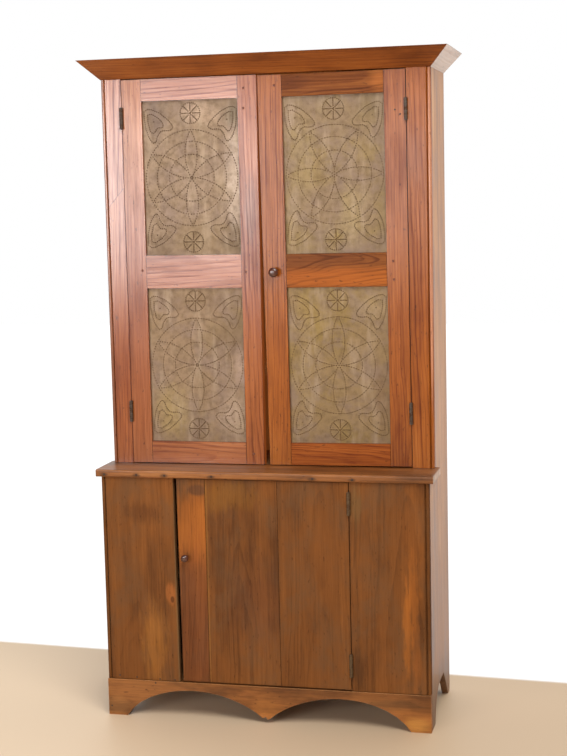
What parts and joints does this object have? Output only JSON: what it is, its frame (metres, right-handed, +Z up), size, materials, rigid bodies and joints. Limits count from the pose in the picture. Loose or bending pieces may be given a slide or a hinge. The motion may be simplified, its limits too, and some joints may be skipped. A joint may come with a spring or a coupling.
{
  "type": "pie safe",
  "caption": "Tall step-back cupboard with framed doors holding punched tins above, a waist ledge, a plank front with one door below, a sprung cornice and a scalloped skirt.",
  "frame": {"origin": "middle of the part's bounding box in X and Y, on the floor plane under the feet", "axes": "+Z up, -Y the way the doors face, +X to the right as seen from the front"},
  "size_m": [1.158, 0.445, 2.07],
  "materials": {
    "pine_upper": "old shellac on heart pine, satin, reddish",
    "pine_lower": "worn dark shellac on pine, dull satin",
    "pine_cornice": "old varnish, deep orange brown",
    "pine_inside": "bare oxidised pine",
    "tin": "aged punched tinplate, dull olive brown",
    "iron": "old grey brown iron",
    "knob_wood": "dark polished turned wood"
  },
  "bodies": {
    "case": {"side_left": "pine_upper", "side_right": "pine_upper", "upper_shelf_1": "pine_inside", "upper_shelf_2": "pine_inside", "upper_shelf_3": "pine_inside", "lower_shelf": "pine_inside", "waist_shelf": "pine_inside", "bottom_board": "pine_inside", "top_board": "pine_inside", "back_board_left": "pine_inside", "back_board_middle": "pine_inside", "back_board_right": "pine_inside", "waist_board": "pine_lower", "skirt": "pine_lower", "cornice_front": "pine_cornice", "cornice_left": "pine_cornice", "cornice_right": "pine_cornice", "face_stile_left": "pine_upper", "face_stile_left_splice": "pine_upper", "face_stile_right": "pine_upper", "head_rail": "pine_upper", "front_board_left": "pine_lower", "front_board_right": "pine_lower", "left_door_upper_hinge_frame_leaf": "iron", "left_door_lower_hinge_frame_leaf": "iron", "right_door_upper_hinge_frame_leaf": "iron", "right_door_lower_hinge_frame_leaf": "iron", "lower_door_upper_hinge_frame_leaf": "iron", "lower_door_lower_hinge_frame_leaf": "iron"},
    "left_door": {"left_door_hinge_stile": "pine_upper", "left_door_meeting_stile": "pine_upper", "left_door_top_rail": "pine_upper", "left_door_middle_rail": "pine_upper", "left_door_bottom_rail": "pine_upper", "left_door_upper_tin": "tin", "left_door_lower_tin": "tin", "left_door_upper_hinge_door_leaf": "iron", "left_door_lower_hinge_door_leaf": "iron"},
    "right_door": {"right_door_hinge_stile": "pine_upper", "right_door_meeting_stile": "pine_upper", "right_door_top_rail": "pine_upper", "right_door_middle_rail": "pine_upper", "right_door_bottom_rail": "pine_upper", "right_door_upper_tin": "tin", "right_door_lower_tin": "tin", "right_door_upper_hinge_door_leaf": "iron", "right_door_lower_hinge_door_leaf": "iron"},
    "right_door_latch": {"right_door_knob": "knob_wood", "right_door_turn": "pine_inside"},
    "lower_door": {"lower_door_board_left": "pine_lower", "lower_door_board_middle": "pine_lower", "lower_door_board_right": "pine_lower", "lower_door_batten_top": "pine_inside", "lower_door_batten_bottom": "pine_inside", "lower_door_upper_hinge_door_leaf": "iron", "lower_door_lower_hinge_door_leaf": "iron"},
    "lower_door_latch": {"lower_door_knob": "knob_wood", "lower_door_turn": "pine_inside"}
  },
  "joints": [
    {"name": "left_door_swing", "type": "hinge", "parent": "case", "child": "left_door", "pos_m": [-0.4535, -0.0775, 1.89], "axis": [0, 0, -1], "range_deg": [0, 170]},
    {"name": "right_door_swing", "type": "hinge", "parent": "case", "child": "right_door", "pos_m": [0.4455, -0.0775, 1.89], "axis": [-0.0052, 0, 1], "range_deg": [0, 170]},
    {"name": "lower_door_swing", "type": "hinge", "parent": "case", "child": "lower_door", "pos_m": [0.274, -0.2025, 0.707], "axis": [0, 0, 1], "range_deg": [0, 170]},
    {"name": "right_door_latch_turn", "type": "hinge", "parent": "right_door", "child": "right_door_latch", "pos_m": [0.02913, -0.06, 1.40506], "axis": [0, 1, 0], "continuous": true},
    {"name": "lower_door_latch_turn", "type": "hinge", "parent": "lower_door", "child": "lower_door_latch", "pos_m": [-0.247, -0.185, 0.52305], "axis": [0, 1, 0], "continuous": true}
  ]
}
